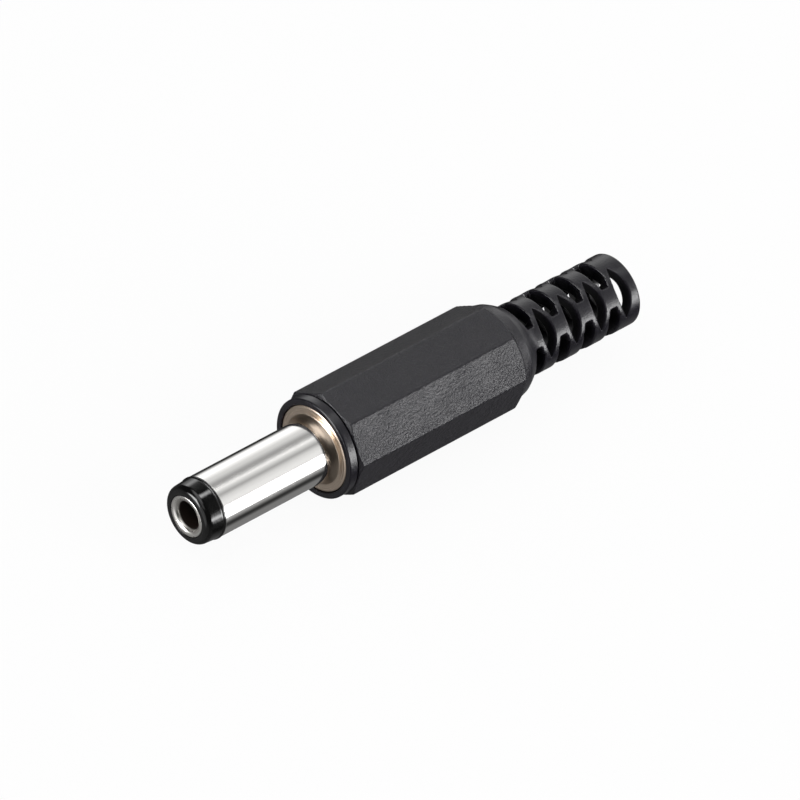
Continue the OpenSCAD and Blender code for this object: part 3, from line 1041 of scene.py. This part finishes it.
class PLUG_OT_stage(bpy.types.Operator):
    """Floor, lamps, world and camera"""

    bl_idname = "plug.stage"
    bl_label = "Stage"

    def execute(self, context):
        scene = context.scene
        p = scene.plug_stage
        scene.view_settings.view_transform = "Standard"
        mesh = bpy.data.meshes.new("floor")
        half, gap = 1.5, 0.02 * MM
        z = float(CAD_LO[2]) - gap
        corners = [(-half, -half, z), (half, -half, z), (half, half, z), (-half, half, z)]
        mesh.from_pydata(corners, [], [(0, 1, 2, 3)])
        floor = bpy.data.objects.new("floor", mesh)
        scene.collection.objects.link(floor)
        dress(floor, floor_finish())
        floor.visible_glossy = False
        floor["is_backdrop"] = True
        studio_world()

        middle = Vector(((CAD_LO[0] + CAD_HI[0]) / 2, 0, 0))
        lamp("key", middle, (0.552, -0.748, 0.367), 0.5, p.key_power, size=0.3)
        lamp("fill", middle, (-0.5, 0.3, 0.8), 0.6, p.fill_power, size=0.4)

        # back points from the plug to the camera; along is the plug's axis in the picture
        back = Vector((
            -math.sin(p.tilt), -math.cos(p.tilt) * math.sin(p.turn),
            math.cos(p.tilt) * math.cos(p.turn),
        ))
        along = (Vector((1, 0, 0)) + math.sin(p.tilt) * back).normalized()
        right = math.cos(p.roll) * along - math.sin(p.roll) * back.cross(along)
        up = back.cross(right)
        camera = bpy.data.cameras.new("camera")
        camera.sensor_width = 36
        camera.lens = p.lens
        camera.clip_start, camera.clip_end = 0.01, 10
        holder = bpy.data.objects.new("camera", camera)
        turn = Matrix((right, up, back)).transposed()
        place = p.aim_right * right + p.aim_up * up + p.distance * back
        holder.matrix_world = Matrix.Translation(place) @ turn.to_4x4()
        scene.collection.objects.link(holder)
        scene.camera = holder
        return {"FINISHED"}


# ---------------------------------------------------------------- add-on


class PLUG_PT_panel(bpy.types.Panel):
    """The plug's operators and sizes"""

    bl_idname = "PLUG_PT_panel"
    bl_label = "DC barrel plug"
    bl_space_type = "VIEW_3D"
    bl_region_type = "UI"
    bl_category = "Plug"

    def draw(self, context):
        """The operators as buttons, and each group's properties in a box."""
        for operator in STEPS:
            self.layout.operator(operator.bl_idname)
        for name, group in GROUPS.items():
            box = self.layout.box()
            for prop in group.__annotations__:
                box.prop(getattr(context.scene, name), prop)


GROUPS = {
    "plug_shell": PLUG_shell_sizes,
    "plug_nose": PLUG_nose_sizes,
    "plug_cover": PLUG_cover_sizes,
    "plug_stage": PLUG_stage_sizes,
}
STEPS = [
    PLUG_OT_stage, PLUG_OT_barrel, PLUG_OT_nose, PLUG_OT_cover, PLUG_OT_cover_thread,
    PLUG_OT_terminals,
]


def register():
    """Registers the classes and hangs the groups on the scene."""
    for group in GROUPS.values():
        bpy.utils.register_class(group)
    for step in STEPS:
        bpy.utils.register_class(step)
    bpy.utils.register_class(PLUG_PT_panel)
    for name, group in GROUPS.items():
        setattr(bpy.types.Scene, name, bpy.props.PointerProperty(type=group))


def unregister():
    """Undoes register, in reverse."""
    for name in GROUPS:
        delattr(bpy.types.Scene, name)
    bpy.utils.unregister_class(PLUG_PT_panel)
    for step in reversed(STEPS):
        bpy.utils.unregister_class(step)
    for group in reversed(list(GROUPS.values())):
        bpy.utils.unregister_class(group)


def main():
    register()
    bpy.ops.plug.stage()
    bpy.ops.plug.barrel()
    bpy.ops.plug.nose()
    bpy.ops.plug.cover()
    bpy.ops.plug.cover_thread()
    bpy.ops.plug.terminals()


if __name__ == "__main__":
    main()
